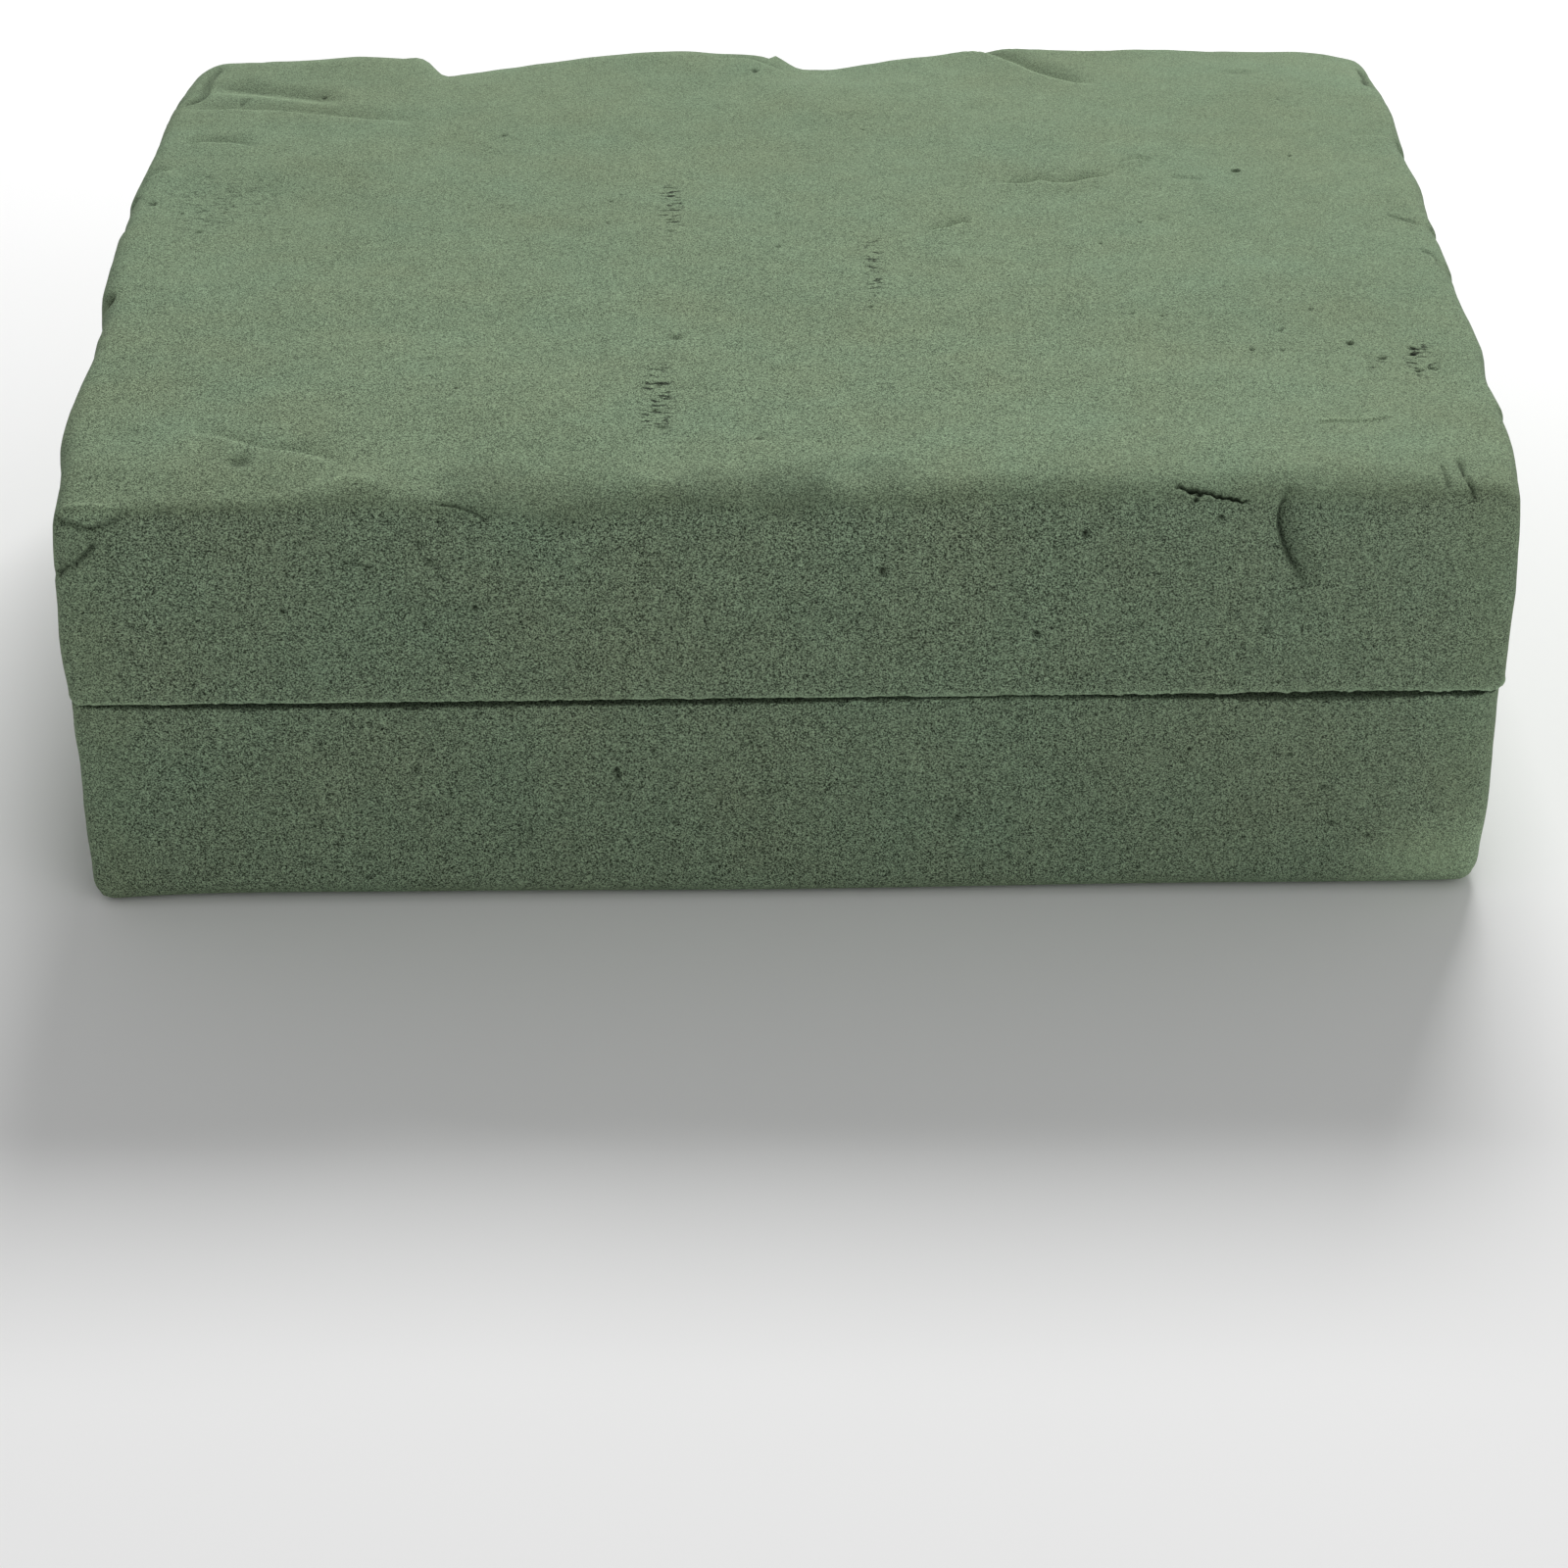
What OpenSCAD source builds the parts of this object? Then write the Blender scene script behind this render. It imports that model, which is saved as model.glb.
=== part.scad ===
// Floral foam brick: one casting of rigid open-cell foam, sawn level into two slabs that lie one on the other.
// The origin is the middle of the base. X runs along the length, Y from the front face to the back, Z up.

/* [Brick] */
// Length over the two cast ends
brick_length = 230; // [160:2:320]
// Depth from the sawn front face to the back
brick_depth = 172; // [90:2:240]
// Height of both slabs together
brick_height = 76; // [50:1:120]
// Share of the height that lies below the saw cut
lower_share = 0.51; // [0.35:0.01:0.65]

/* [Edges] */
// Radius of the rounding along the top edges
top_round = 5; // [2:0.5:12]
// Radius of the rounding along the base edges
base_round = 6; // [2:0.5:12]
// Radius of the two front corners, seen from above
front_corner = 4; // [2:0.5:15]
// Radius of the two back corners, seen from above
back_corner = 8; // [2:0.5:20]

/* [Skin] */
// How deep the cast skin of the ends and the back sinks between its swells
skin_wave = 1.6; // [0:0.1:3]
// Distance from one swell of the skin to the next
wave_length = 58; // [40:1:120]

/* [Hidden] */

cut_z = brick_height * lower_share;  // height of the saw cut above the base
run_step = 8;       // spacing of the outline's points along a straight side
wall_step = 7;      // spacing of the rings up the upright walls
corner_steps = 5;   // facets round each upright corner
round_steps = 5;    // facets round the top and base edges
least_corner = 1;   // smallest corner radius of an inset outline
end_fade = 4;       // power with which the waves of the ends die away towards the middle
rise_lean = 1.5;    // degrees of wave per mm of height, so the swells lean as they rise
spare = 10;         // how far a cutting block stands clear of the brick

// Points round one upright corner, from the angle a0 on
function corner(centre, radius, a0) = [
    for (i = [0 : corner_steps])
        let (a = a0 + 90 * i / corner_steps)
            centre + radius * [cos(a), sin(a)]
];

// Points strictly between p and q, as many as the given length needs, so that every outline has the same number
function run(p, q, length) =
    let (n = ceil(length / run_step))
        [for (i = [1 : n - 1]) p + (q - p) * i / n];

// The brick's outline seen from above, set inwards by inset, anticlockwise from the front right corner
function outline(inset) =
    let (
        hx = brick_length / 2 - inset,
        hy = brick_depth / 2 - inset,
        rf = max(front_corner - inset, least_corner),
        rb = max(back_corner - inset, least_corner)
    )
    concat(
        corner([hx - rf, rf - hy], rf, -90),
        run([hx, rf - hy], [hx, hy - rb], brick_depth),
        corner([hx - rb, hy - rb], rb, 0),
        run([hx - rb, hy], [rb - hx, hy], brick_length),
        corner([rb - hx, hy - rb], rb, 90),
        run([-hx, hy - rb], [-hx, rf - hy], brick_depth),
        corner([rf - hx, rf - hy], rf, 180),
        run([rf - hx, -hy], [hx - rf, -hy], brick_length)
    );

// How far the skin has sunk at a place along a side and a height, from 0 on a swell to skin_wave between two
function sunk(along, z) = skin_wave / 2 * (1 - cos(360 * along / wave_length + rise_lean * (z - cut_z)));

// Draws a point of the smooth brick in where the skin sinks: fully at the ends and the back, not at the front
function weathered(p) =
    let (
        at_end = pow(abs(2 * p.x / brick_length), end_fade),
        at_back = p.y > 0 ? pow(2 * p.y / brick_depth, end_fade) : 0
    )
    [
        p.x - sign(p.x) * at_end * sunk(p.y, p.z),
        p.y - at_back * sunk(p.x, p.z),
        p.z
    ];

// [inset, height] of each ring of the wall: round the base edge, up the wall and round the top edge
LEVELS = concat(
    [
        for (i = [0 : round_steps])
            let (a = 90 * i / round_steps)
                [base_round * (1 - sin(a)), base_round * (1 - cos(a))]
    ],
    let (
        wall = brick_height - base_round - top_round,
        n = ceil(wall / wall_step)
    )
    [for (i = [1 : n - 1]) [0, base_round + wall * i / n]],
    [
        for (i = [0 : round_steps])
            let (a = 90 * i / round_steps)
                [top_round * (1 - cos(a)), brick_height - top_round * (1 - sin(a))]
    ]
);

// The whole casting before it is sawn: rings of outline points, with a fan over the base and another over the top
module casting() {
    rings = [for (level = LEVELS) [for (q = outline(level[0])) weathered([q.x, q.y, level[1]])]];
    count = len(rings[0]);
    last = len(rings) - 1;
    points = concat(
        [for (ring = rings) each ring],
        [[0, 0, 0], [0, 0, brick_height]]
    );
    base_middle = len(points) - 2;
    top_middle = len(points) - 1;
    faces = concat(
        [for (i = [0 : count - 1]) [base_middle, i, (i + 1) % count]],
        [
            for (k = [0 : last - 1])
                for (i = [0 : count - 1])
                    let (j = (i + 1) % count)
                        each [
                            [k * count + i, (k + 1) * count + i, (k + 1) * count + j],
                            [k * count + i, (k + 1) * count + j, k * count + j]
                        ]
        ],
        [for (i = [0 : count - 1]) [top_middle, last * count + (i + 1) % count, last * count + i]]
    );
    polyhedron(points = points, faces = faces, convexity = 4);
}

// A plain block over the whole plan of the brick, from the height z0 to z1
module layer(z0, z1) {
    translate([-brick_length / 2 - spare, -brick_depth / 2 - spare, z0])
        cube([brick_length + 2 * spare, brick_depth + 2 * spare, z1 - z0]);
}

// The half that stands on the table: rounded base edges, sawn flat on top
module lower_slab() {
    color([0.35, 0.40, 0.33])
        intersection() {
            casting();
            layer(0, cut_z);
        }
}

// The loose half that lies on it: sawn flat below, cast skin and rounded edges above
module upper_slab() {
    color([0.48, 0.55, 0.45])
        intersection() {
            casting();
            layer(cut_z, brick_height);
        }
}

lower_slab();
upper_slab();
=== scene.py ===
"""Looks of a floral foam brick: one casting of rigid green foam, sawn level into two loose slabs.

X runs along the brick, Y from its sawn front face to its back, Z up.
The shapes are worked out in millimetres and turned into metres when their meshes are made.
"""

import math
import bmesh
import bpy
import numpy as np
from mathutils import Matrix, Vector


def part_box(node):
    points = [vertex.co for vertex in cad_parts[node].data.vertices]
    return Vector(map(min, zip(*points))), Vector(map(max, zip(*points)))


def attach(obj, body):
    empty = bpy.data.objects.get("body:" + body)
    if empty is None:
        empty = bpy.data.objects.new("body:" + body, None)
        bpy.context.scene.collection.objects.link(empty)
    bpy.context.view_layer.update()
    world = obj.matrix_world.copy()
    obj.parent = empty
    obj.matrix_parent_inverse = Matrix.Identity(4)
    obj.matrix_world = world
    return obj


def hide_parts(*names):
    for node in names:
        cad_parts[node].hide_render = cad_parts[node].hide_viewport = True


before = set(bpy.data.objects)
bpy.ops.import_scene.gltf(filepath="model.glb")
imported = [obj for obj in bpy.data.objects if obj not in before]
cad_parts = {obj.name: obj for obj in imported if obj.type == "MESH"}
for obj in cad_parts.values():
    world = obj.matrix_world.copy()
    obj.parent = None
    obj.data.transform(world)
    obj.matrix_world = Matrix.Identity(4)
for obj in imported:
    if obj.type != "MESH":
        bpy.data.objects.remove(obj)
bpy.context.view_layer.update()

MM = 0.001
upper_low, upper_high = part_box("upper_slab")
HALF_X = upper_high.x / MM
HALF_Y = upper_high.y / MM
TOP = upper_high.z / MM
CUT = upper_low.z / MM

COARSE = 2.5  # size of a face on a surface that another one hides
FINEST = 0.3  # faces of this size or less aren't split any further
ON_SIDE = 0.01  # points and faces this close to a side of the flat box lie on it
UPHILL = 0.58  # about how steeply the main camera's line of sight rises from the front's top edge
ROLLED_UPHILL = 0.3  # a gentler slope for the flat box's top, which isn't rounded down yet
ROLLED_DROP = 1.5  # how far that rounding is taken to lower the top's points near the front
SKIN_FADE = 5  # power with which the swells of the cast ends and back fade towards the middle of the brick
SET_BACK = 0.55  # how far the lower slab's front lies behind the upper one's
SET_IN = 0.2  # how far the lower slab's ends lie inside the upper one's
GAPE_DEPTH = 11  # how far in from the edge the saw cut stands open
UPPER_GAPE = 0.15  # how far the upper slab's edge rises for each mm that the lower one's sinks

# ---------------------------------------------------------------- small tools


def ease(t):
    """0 below 0, 1 above 1 and a smooth step between."""
    t = np.clip(t, 0, 1)
    return t * t * (3 - 2 * t)


def through(x, places, values):
    """A smooth curve through the values at the places, read at x."""
    places = np.array(places, float)
    values = np.array(values, float)
    slopes = np.gradient(values, places)
    i = np.clip(np.searchsorted(places, x) - 1, 0, len(places) - 2)
    width = places[i + 1] - places[i]
    t = np.clip((x - places[i]) / width, 0, 1)
    start = (1 + 2 * t) * (1 - t) ** 2 * values[i] + t * (1 - t) ** 2 * width * slopes[i]
    end = t * t * (3 - 2 * t) * values[i + 1] - t * t * (1 - t) * width * slopes[i + 1]
    return start + end


def hashed(i, j, k, seed):
    """A fixed random number from -1 to 1 for each cell of a lattice."""
    h = (i * 374761393 + j * 668265263 + k * 1440662683 + seed * 982451653) & 0xFFFFFFFF
    h = ((h ^ (h >> 13)) * 1274126177) & 0xFFFFFFFF
    h = ((h ^ (h >> 16)) * 1103515245) & 0xFFFFFFFF
    return (h ^ (h >> 15)) / 0x7FFFFFFF - 1


def noise(points, size, seed):
    """Smooth noise from -1 to 1 at each point, with bumps about size mm across."""
    q = points / size
    cell = np.floor(q).astype(np.int64)
    t = q - cell
    t = t * t * t * (t * (t * 6 - 15) + 10)
    total = np.zeros(len(points))
    for corner in range(8):
        step = np.array([corner & 1, corner >> 1 & 1, corner >> 2])
        weight = np.where(step, t, 1 - t).prod(axis=1)
        total += weight * hashed(*(cell + step).T, seed)
    return total


def smooth_line(points, spans=6):
    """Points along a smooth line through the given ones."""
    points = np.array(points, float)
    if len(points) < 3:
        return points
    places = np.arange(len(points))
    fine = np.linspace(0, len(points) - 1, spans * (len(points) - 1) + 1)
    return np.stack([through(fine, places, points[:, axis]) for axis in (0, 1)], axis=1)


def beside(points, line):
    """How far each point is from a line, + on its left and - on its right, and how far along it, 0 to 1."""
    line = smooth_line(line)
    steps = np.diff(line, axis=0)
    lengths = np.linalg.norm(steps, axis=1)
    starts = np.concatenate([[0], np.cumsum(lengths)])
    nearest = np.full(len(points), 1e9)
    left = np.ones(len(points))
    share = np.zeros(len(points))
    for a, step, length, start in zip(line[:-1], steps, lengths, starts):
        t = np.clip((points - a) @ step / length**2, 0, 1)
        away = points - a - t[:, None] * step
        distance = np.hypot(away[:, 0], away[:, 1])
        closer = distance < nearest
        nearest = np.where(closer, distance, nearest)
        left = np.where(closer, np.where(step[0] * away[:, 1] > step[1] * away[:, 0], 1, -1), left)
        share = np.where(closer, (start + t * length) / starts[-1], share)
    return nearest * left, share


# ---------------------------------------------------------------- marks in the foam
# A mark's shape gives, for points on a face, how far the surface lies above (+) or below (-) it in mm,
# and the shade painted there: 1 for painted shade in a dark recess, 0 where the colour stays, and less than
# 0 for a painted highlight.
# fine is about the size of the faces that it needs, and reach how far from its line (0 for nowhere).


class Fold:
    """A pleat of the mould's film: a slope down to the line on its left, a steep lip on its right, with
    painted shade on the slope and a painted highlight on the lip.
    """

    def __init__(self, line, depth, slope, steep=1.0, lip=0.2, fine=0.65):
        self.line, self.depth, self.slope = line, depth, slope
        self.steep, self.lip, self.fine = steep, lip, fine
        self.reach = min(slope, 1) + 0.4

    def shape(self, points):
        side, share = beside(points, self.line)
        fade = ease(4 * np.minimum(share, 1 - share))
        down = -self.depth * np.clip(1 - side / self.slope, 0, 1) ** 1.6
        t = -side / self.steep
        climb = -self.depth + (self.depth + self.lip) * ease(t)
        after = self.lip * (1 - ease((t - 1) / 5))
        height = np.where(side > 0, down, np.where(t < 1, climb, after))
        close = ease(1 - np.abs(side) / (self.slope + 2 * self.steep))
        shaded = 0.24 * np.clip(1 - side / self.slope, 0, 1) * ease(1 + side / 0.6)
        lit = 0.4 * np.exp(-(((side + 0.7 * self.steep) / 0.55) ** 2))
        return np.where(close > 0, height, 0) * fade, (shaded - lit) * fade * min(1, abs(self.depth) * 1.2)


class Crease:
    """A narrow groove, or a ridge where the depth is negative, with painted shade along it, or a painted
    highlight where dark is negative.
    """

    def __init__(self, line, depth, width, dark=0.5, fine=0.32, ragged=0.0):
        self.line, self.depth, self.width = line, depth, width
        self.dark, self.fine, self.ragged = dark, fine, ragged
        self.reach = 2.5 * width + 0.6

    def shape(self, points):
        side, share = beside(points, self.line)
        fade = ease(5 * np.minimum(share, 1 - share) + 0.1)
        width = self.width
        if self.ragged:
            there = np.column_stack([points, np.zeros(len(points))])
            width = width * (1 + self.ragged * noise(there, 0.9, 71))
        depth = np.exp(-((side / width) ** 2)) * fade
        return -self.depth * depth, self.dark * depth


def jagged(line, swing, seed):
    """The smooth line again with small sideways jumps, like a tear."""
    smooth = smooth_line(line, 8)
    return smooth + np.random.default_rng(seed).normal(0, swing, smooth.shape)


class Pit:
    """A small hole with a rounded rim, and painted shade in it."""

    def __init__(self, at, depth, radius, stretch=1.0, dark=0.8, fine=0.32):
        self.at, self.depth, self.radius, self.stretch = at, depth, radius, stretch
        self.dark, self.fine = dark, fine
        self.line = [(at[0] - 0.01, at[1]), (at[0] + 0.01, at[1])]
        self.reach = radius * max(1, stretch) * 1.6 + 0.3

    def shape(self, points):
        across = (points - np.array(self.at)) / self.radius
        across[:, 0] /= self.stretch
        depth = np.exp(-((across**2).sum(axis=1) ** 1.5))
        return -self.depth * depth, self.dark * depth


class Dent:
    """A wide soft hollow, or a swelling where the depth is negative, with painted shade, or a painted
    highlight where dark is negative, that fades to its rim.
    """

    def __init__(self, at, depth, radii, dark=0.0):
        self.at, self.depth, self.radii, self.dark = at, depth, radii, dark
        self.fine, self.reach = 1.3, 0

    def shape(self, points):
        across = (points - np.array(self.at)) / np.array(self.radii)
        away = np.sqrt((across**2).sum(axis=1))
        return -self.depth * ease(1 - away), self.dark * ease(1.5 - 1.5 * away)


class Scoop:
    """The mark of a fingernail: a steep wall along the line, and a floor that rises again on its left, with
    painted shade along the wall and on the floor.
    """

    def __init__(self, line, depth, width, dark=0.75, fine=0.32):
        self.line, self.depth, self.width = line, depth, width
        self.dark, self.fine = dark, fine
        self.reach = width + 0.6

    def shape(self, points):
        side, share = beside(points, self.line)
        fade = np.sin(math.pi * np.clip(share, 0, 1)) ** 0.5
        floor = np.clip(1 - side / self.width, 0, 1) ** 1.3
        wall = ease(1 + side / 0.35)
        depth = np.where(side > 0, floor, wall) * fade
        dark = np.maximum(np.exp(-(((side - 0.15) / 0.4) ** 2)), 0.35 * floor * ease(1 + side / 0.3)) * fade
        return -self.depth * depth, self.dark * dark


class Combed:
    """A patch of torn cells, such as a wire or a comb leaves, from 0 to its strength in the middle."""

    def __init__(self, at, radii, strength):
        self.at, self.radii, self.strength = np.array(at), np.array(radii), strength

    def torn(self, points):
        across = np.abs((points - self.at) / self.radii)
        return self.strength * ease(1.6 - 1.3 * (across**3).sum(axis=1) ** (1 / 3))


def specks(low, high, count, seed, depth=0.4, radius=0.3):
    """Burst bubbles scattered over a rectangle."""
    random = np.random.default_rng(seed)
    return [
        Pit(
            tuple(random.uniform(low, high)),
            depth * random.uniform(0.6, 1.3),
            radius * random.uniform(0.7, 1.4),
            random.uniform(0.8, 1.6),
        )
        for _ in range(count)
    ]


# The marks were laid out on a slightly larger brick: layout = scale * place + offset
TOP_LAYOUT = (1.019, np.array([0.5, -0.7]))
FRONT_LAYOUT = (1.022, np.array([0.5, -1.5]))

# Marks on the top, at (x, y)
TOP_MARKS = [
    # Back left corner
    Fold([(-106, 69), (-98, 67.5), (-88, 65), (-78, 62)], 0.9, 4.5, 4.0, 0.0),
    Fold([(-112, 59), (-100, 58.6), (-88.6, 57.4), (-76, 54.6), (-63, 51.5)], 0.6, 5, 2.0, 0.35),
    Crease([(-104, 79), (-106, 71), (-106.5, 64), (-110.5, 60)], 0.8, 0.7, 0.6),
    Crease([(-97.5, 63), (-99, 59.5)], 0.3, 0.3, 0.5),
    # Left edge
    Fold([(-108, 42.2), (-104.5, 43.5), (-101.5, 43.4), (-97.8, 42.8), (-93.6, 41)], 0.7, 4, 1.4, 0.35),
    Fold([(-114, 27.5), (-111, 30.5), (-108, 32.3)], 0.5, 3, 1.2, 0.3),
    Pit((-110, 18), 0.8, 0.7),
    Pit((-113, -18), 1.4, 1.2, 0.8, 0.7),
    # Front left corner
    Pit((-84.5, -76.5), 0.7, 1.4, 1.3, 0.55, 0.65),
    Fold(
        [(-93, -65.5), (-88, -68), (-81, -72), (-74.5, -73.3), (-70, -76), (-68.5, -79)],
        0.5, 3, 1.2, 0.3,
    ),
    # Pits, and a fine ridge with a painted highlight, at the right
    Pit((82.1, 26.7), 1.0, 0.6, 1.2, 1.0, 0.16),
    Pit((98.4, -44.5), 0.6, 0.45, 1.5),
    Pit((93.8, -39.2), 0.8, 0.5, 1.2, 1.0),
    Pit((77.5, -40.8), 0.5, 0.4),
    Pit((82.5, -40.9), 0.4, 0.36),
    Crease([(83.5, -67.7), (87.6, -66.5), (92.9, -66.3), (96.2, -65.1), (98, -64.5)], -0.45, 0.4, -0.3),
    # Right of the middle
    Fold([(39, 23.5), (44, 22.8), (47, 24), (50, 22.7), (55, 24.2), (61, 27)], 0.95, 3.6, 0.9, 0.45, 0.32),
    Fold([(60.5, 30.5), (62.8, 31.7), (65.5, 32.5), (67.9, 30.3)], 0.35, 2.5, 0.8, 0.3, 0.32),
    Crease([(70, 24.5), (76.5, 23)], 0.3, 0.6, 0.25, 0.65),
    Fold([(26, 4), (29.5, 5), (31.5, 6.5), (34.5, 6.8)], 0.8, 2.8, 0.8, 0.4, 0.32),
    # The right part of the back edge
    Fold([(30, 85), (39.4, 82.5), (43.4, 79.6), (51.2, 72), (57.8, 68.1), (62, 66.5)], 1.1, 4.5, 1.6, 0.3),
    Pit((87.5, 70.3), 0.3, 1.2, 2.4, 0.2, 0.65),
    Crease([(111, 76), (111.6, 71), (111, 64)], 1.2, 0.8, 0.9, 0.32, 0.5),
    # Right edge and front right corner
    Fold([(104, 41.6), (108, 42.3), (113, 41)], 0.25, 2.5, 1.0, 0.3),
    Crease([(106, 8), (109.5, 6.5), (112, 4)], 0.3, 0.45, 0.3),
    Crease([(110, -5), (112.5, -8), (113, -12)], 0.35, 0.5, 0.35),
    Crease([(105.2, -79), (105.6, -84), (107, -88), (108.5, -90)], 0.7, 0.35, 0.7, 0.32, 0.3),
    Crease([(102.3, -81), (102.6, -85), (102.8, -87)], 0.4, 0.3, 0.5),
    # By the notch in the middle of the back edge
    Fold([(-12, 78), (-7, 79.5), (-3, 78.5), (3, 74)], 0.6, 3, 1.2, 0.15),
    Pit((-3.5, 73), 0.5, 0.6),
    # The middle
    Pit((-17, -35.5), 0.5, 0.8, 1.5, 0.5),
    # Swellings, hollows, a ridge with a painted highlight, and patches of painted shade along the front
    # edge
    Dent((9, -76.5), -0.4, (8, 4)),
    Dent((-38, -78), 0.6, (13, 13)),
    Dent((-46, -81.5), 0.1, (11, 9), 0.24),
    Dent((-34, -84), 0.1, (9, 7), 0.16),
    Dent((-18, -82), -0.4, (8, 7)),
    Dent((-12, -84.2), 0.1, (8, 7), 0.25),
    Dent((1.5, -83.6), 0.1, (11, 7), 0.25),
    Dent((15.5, -81), 0.1, (7, 6), 0.2),
    Crease([(-74, -86), (-71, -83.4), (-68, -82), (-65, -82.4), (-62, -84)], -0.2, 0.7, -0.25, 0.65),
    Dent((-65, -82), -0.6, (7, 5)),
    # Two wide hollows and a wide swelling
    Dent((-88, 20), 0.6, (22, 16)),
    Dent((-52, -30), 0.5, (30, 14)),
    Dent((62, -52), -0.5, (26, 14)),
    # Holes in the torn patches
    Pit((-18.6, 9.5), 0.4, 0.3, 2.2, 0.9),
    Pit((-18.9, 23.5), 0.35, 0.28, 2.2, 0.8),
    Pit((-18.3, 4.4), 0.35, 0.28, 2.5, 0.8),
    Pit((-19.4, -52), 0.4, 0.3, 1.8, 0.9),
    Pit((-20, -60), 0.5, 0.34, 1.8, 0.9),
    Pit((-18.8, -65.5), 0.5, 0.34, 2.2, 0.9),
    Pit((-100.5, 6.5), 0.4, 0.34, 1.8, 0.8),
    # Burst bubbles
    *specks((-108, 5), (-88, 29), 9, 8, 0.35, 0.26),
    *specks((-112, -80), (112, 80), 26, 9, 0.35, 0.28),
    *specks((103, -52), (106.5, -39), 9, 10, 0.5, 0.34),
]

# Patches of torn cells on the top, at (x, y)
TORN_PATCHES = [
    Combed((-18.6, 14.5), (1.9, 11), 1.0),
    Combed((-19.8, -57), (2.6, 12.5), 1.0),
    Combed((16.4, -11.5), (1.9, 13), 0.75),
    Combed((-98, 17), (11, 12), 0.25),
    Combed((104.5, -45.5), (2.8, 6.5), 0.9),
    Combed((97, -46), (2.5, 3), 0.5),
]

# Marks on the front face, at (x, z).
# A line's left is the side above it if it runs to the right, and the side right of it if it runs down.
FRONT_MARKS = [
    # The torn nick in the top edge, with its holes
    Crease(
        jagged([(60, 76.4), (63.5, 75.7), (66.2, 75), (69.4, 74), (73, 73.4)], 0.16, 3),
        1.3, 0.24, 1.0, 0.16, 0.6,
    ),
    Pit((61.9, 76.1), 0.8, 0.3, 1.3, 1.0, 0.16),
    Pit((63.3, 75.5), 1.2, 0.55, 1.2, 1.0, 0.16),
    Pit((64.6, 74.9), 1.0, 0.45, 1.2, 1.0, 0.16),
    Pit((64, 73.8), 0.9, 0.38, 1.2, 1.0, 0.16),
    Pit((68, 70.5), 0.9, 0.42, 1.0, 1.0),
    # The mark of a fingernail
    Scoop(
        [(78.4, 76.4), (77.2, 73), (76.8, 70), (77.3, 67), (78.6, 63.6), (80.2, 60.6), (82, 57.6)],
        1.9, 4.2, 0.9,
    ),
    # Pits of the upper slab
    Pit((47, 67.7), 0.9, 0.55, 1.0, 1.0),
    Pit((15.6, 61.4), 0.9, 0.55, 1.0, 1.0),
    Pit((40, 49.7), 0.8, 0.5, 1.0, 1.0),
    Pit((-54.8, 64), 0.8, 0.5, 1.0, 1.0),
    Pit((-48.2, 55.5), 0.8, 0.5, 1.0, 1.0),
    # Cracks at the left
    Crease([(-54, 74.6), (-50.5, 74.2), (-48, 73.2), (-45.2, 71.3)], 0.4, 0.26, 0.6, 0.32, 0.4),
    Crease([(-69, 64.4), (-67.8, 64), (-65.5, 63.5), (-63.5, 62.6)], 0.4, 0.26, 0.6, 0.32, 0.4),
    # Upper left corner, with a painted highlight on the swelling above a crease
    Crease([(-114, 73.6), (-109, 71.2), (-106.5, 70.6), (-104, 71.7), (-101, 73.6)], 0.7, 0.6, 0.5),
    Dent((-107.5, 75), -1.0, (8, 4.6), -0.35),
    Crease([(-106, 68.5), (-109.5, 64.5), (-115, 62)], 0.8, 0.45, 0.8, 0.32, 0.4),
    # The lower slab
    Pit((-27, 24.6), 1.0, 0.55, 0.8, 1.0),
    Pit((-26.8, 23.4), 0.9, 0.5, 0.8, 1.0),
    Pit((65.3, 27.4), 0.7, 0.45),
    Crease([(30, 18.4), (28.5, 15.5), (26.4, 12)], 0.35, 0.35, 0.45),
    Pit((95.4, 10.2), 0.6, 0.5),
    # Burst bubbles of the upper and the lower slab
    *specks((-110, 42), (110, 72), 26, 11, 0.5, 0.3),
    *specks((-110, 4), (110, 36), 24, 12, 0.5, 0.3),
]


def skin_folds(seed, along_from, along_to, count, fixed):
    """Upright pleats of an end or of the back, at (distance along it, z).

    The fixed ones are given as (distance along, highest z, lowest z, depth), and count more lie by chance.
    """
    random = np.random.default_rng(seed)
    marks = []
    for i in range(count + len(fixed)):
        if i < len(fixed):
            at, z_from, z_to, depth = fixed[i]
        else:
            at = random.uniform(along_from, along_to)
            z_from = random.uniform(45, 74)
            z_to = z_from - random.uniform(12, 40)
            depth = random.uniform(0.25, 0.7)
        lean = random.uniform(-0.3, 0.3)
        line = []
        for z in np.linspace(z_from, z_to, 5):
            line.append((at + lean * (z_from - z) + random.normal(0, 0.7), z))
        side = 1 if random.random() < 0.5 else -1
        if side < 0:
            line = line[::-1]
        fine = 0.65 if i < len(fixed) else 1.3
        marks.append(Fold(line, depth, random.uniform(3, 6), random.uniform(1, 1.8), 0.2, fine))
    return marks


LEFT_MARKS = skin_folds(
    21, -75, 75, 9,
    [(63.5, 77, 52, 0.9), (22, 77, 58, 0.6), (9, 77, 48, 0.7), (-17, 77, 30, 1.1)],
)
RIGHT_MARKS = skin_folds(
    22, -75, 75, 9,
    [(42, 77, 50, 0.9), (6, 77, 56, 0.8), (-9, 77, 45, 0.9), (-58, 77, 52, 0.7)],
)
BACK_MARKS = skin_folds(
    23, -105, 105, 13,
    [(-61, 78, 30, 1.6), (5.5, 78, 26, 1.6), (44, 77, 52, 0.8), (-96, 77, 44, 0.7)],
)


# ---------------------------------------------------------------- the slabs' meshes


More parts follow.
